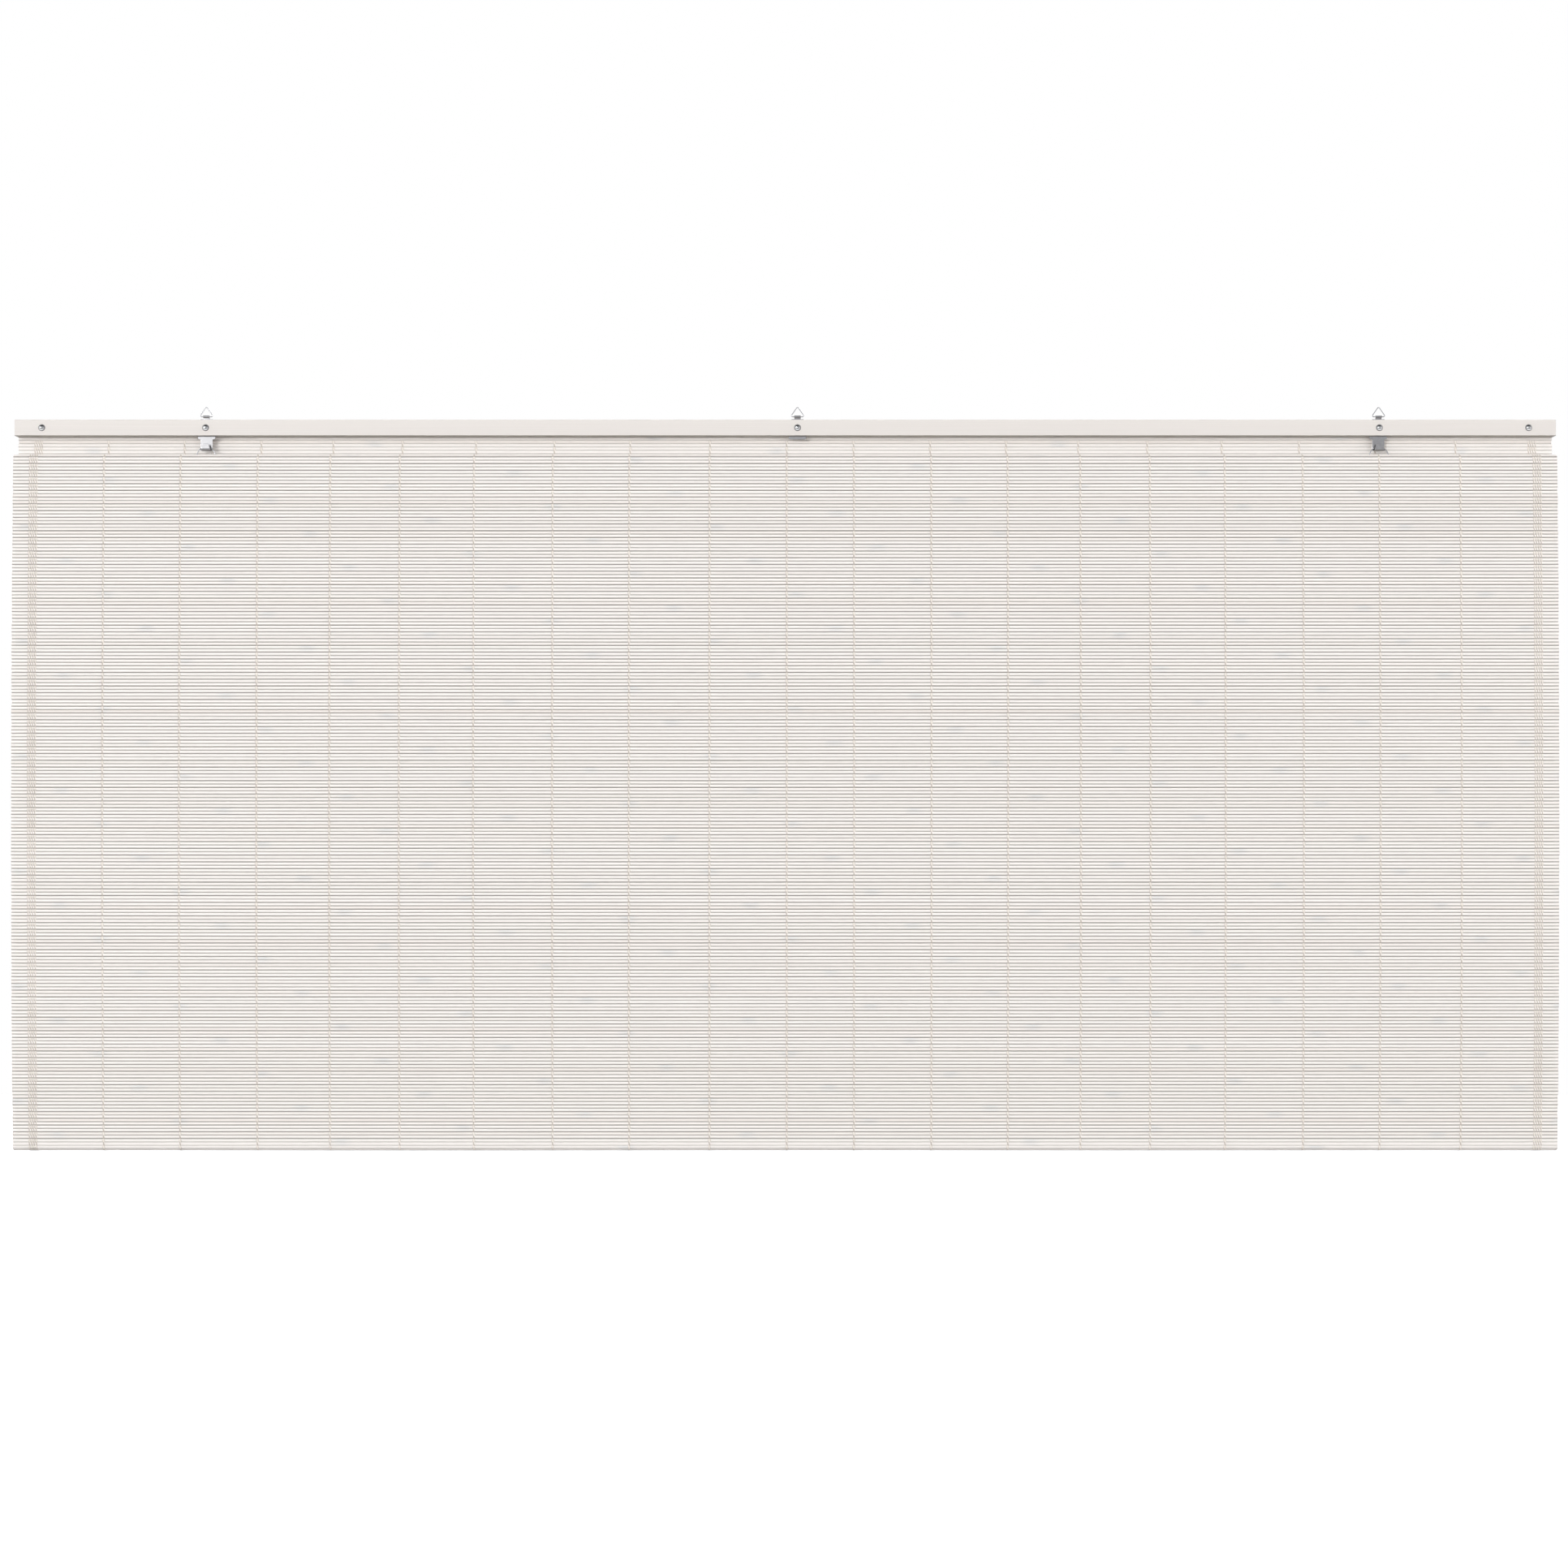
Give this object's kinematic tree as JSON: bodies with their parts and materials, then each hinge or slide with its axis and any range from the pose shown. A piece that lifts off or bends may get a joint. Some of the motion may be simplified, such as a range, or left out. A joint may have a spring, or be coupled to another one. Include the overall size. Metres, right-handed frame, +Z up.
{
  "type": "bamboo blind",
  "caption": "Wide bamboo blind: a white slat mat hung doubled from a wooden rail, with triangular hanging rings above, round cord rings below and a rod in its bottom turn.",
  "frame": {"origin": "middle of the rail's back face, the face that lies against the wall", "axes": "+X along the rail to the right as seen from the room, +Y to the wall, +Z up"},
  "size_m": [2.2, 0.0373, 1.0623],
  "materials": {
    "rail_wood": "satin white-washed",
    "bamboo": "matte white",
    "rod_wood": "matte white",
    "yarn": "twisted cotton",
    "plated_steel": "bright zinc",
    "screw_chrome": "polished"
  },
  "bodies": {
    "blind": {"front_lath": "rail_wood", "rear_lath": "rail_wood", "clamp_batten": "rail_wood", "screws": "screw_chrome", "bracket_plate_left": "plated_steel", "bracket_plate_centre": "plated_steel", "bracket_plate_right": "plated_steel", "mat": "bamboo", "bottom_rod": "rod_wood", "warp_yarn_01": "yarn", "warp_yarn_02": "yarn", "warp_yarn_03": "yarn", "warp_yarn_04": "yarn", "warp_yarn_05": "yarn", "warp_yarn_06": "yarn", "warp_yarn_07": "yarn", "warp_yarn_08": "yarn", "warp_yarn_09": "yarn", "warp_yarn_10": "yarn", "warp_yarn_11": "yarn", "warp_yarn_12": "yarn", "warp_yarn_13": "yarn", "warp_yarn_14": "yarn", "warp_yarn_15": "yarn", "warp_yarn_16": "yarn", "warp_yarn_17": "yarn", "warp_yarn_18": "yarn", "warp_yarn_19": "yarn", "edge_yarns_left": "yarn", "edge_yarns_right": "yarn"},
    "left_hook_ring": {"hanging_ring_left": "plated_steel"},
    "centre_hook_ring": {"hanging_ring_centre": "plated_steel"},
    "right_hook_ring": {"hanging_ring_right": "plated_steel"},
    "left_cord_ring": {"cord_ring_left": "plated_steel"},
    "right_cord_ring": {"cord_ring_right": "plated_steel"}
  },
  "joints": [
    {"name": "hook_ring_swing_left", "type": "hinge", "parent": "blind", "child": "left_hook_ring", "pos_m": [-0.8272, -0.01698, 0.0163], "axis": [1, 0, 0], "range_deg": [-100, 120]},
    {"name": "hook_ring_swing_centre", "type": "hinge", "parent": "blind", "child": "centre_hook_ring", "pos_m": [0.0176, -0.01698, 0.0163], "axis": [1, 0, 0], "range_deg": [-100, 120]},
    {"name": "hook_ring_swing_right", "type": "hinge", "parent": "blind", "child": "right_hook_ring", "pos_m": [0.8481, -0.01698, 0.0163], "axis": [1, 0, 0], "range_deg": [-100, 120]},
    {"name": "cord_ring_swing_left", "type": "hinge", "parent": "blind", "child": "left_cord_ring", "pos_m": [-0.8272, -0.0187, -0.03065], "axis": [1, 0, 0], "range_deg": [-13, 25]},
    {"name": "cord_ring_swing_right", "type": "hinge", "parent": "blind", "child": "right_cord_ring", "pos_m": [0.8481, -0.0187, -0.03065], "axis": [1, 0, 0], "range_deg": [-13, 25]}
  ]
}
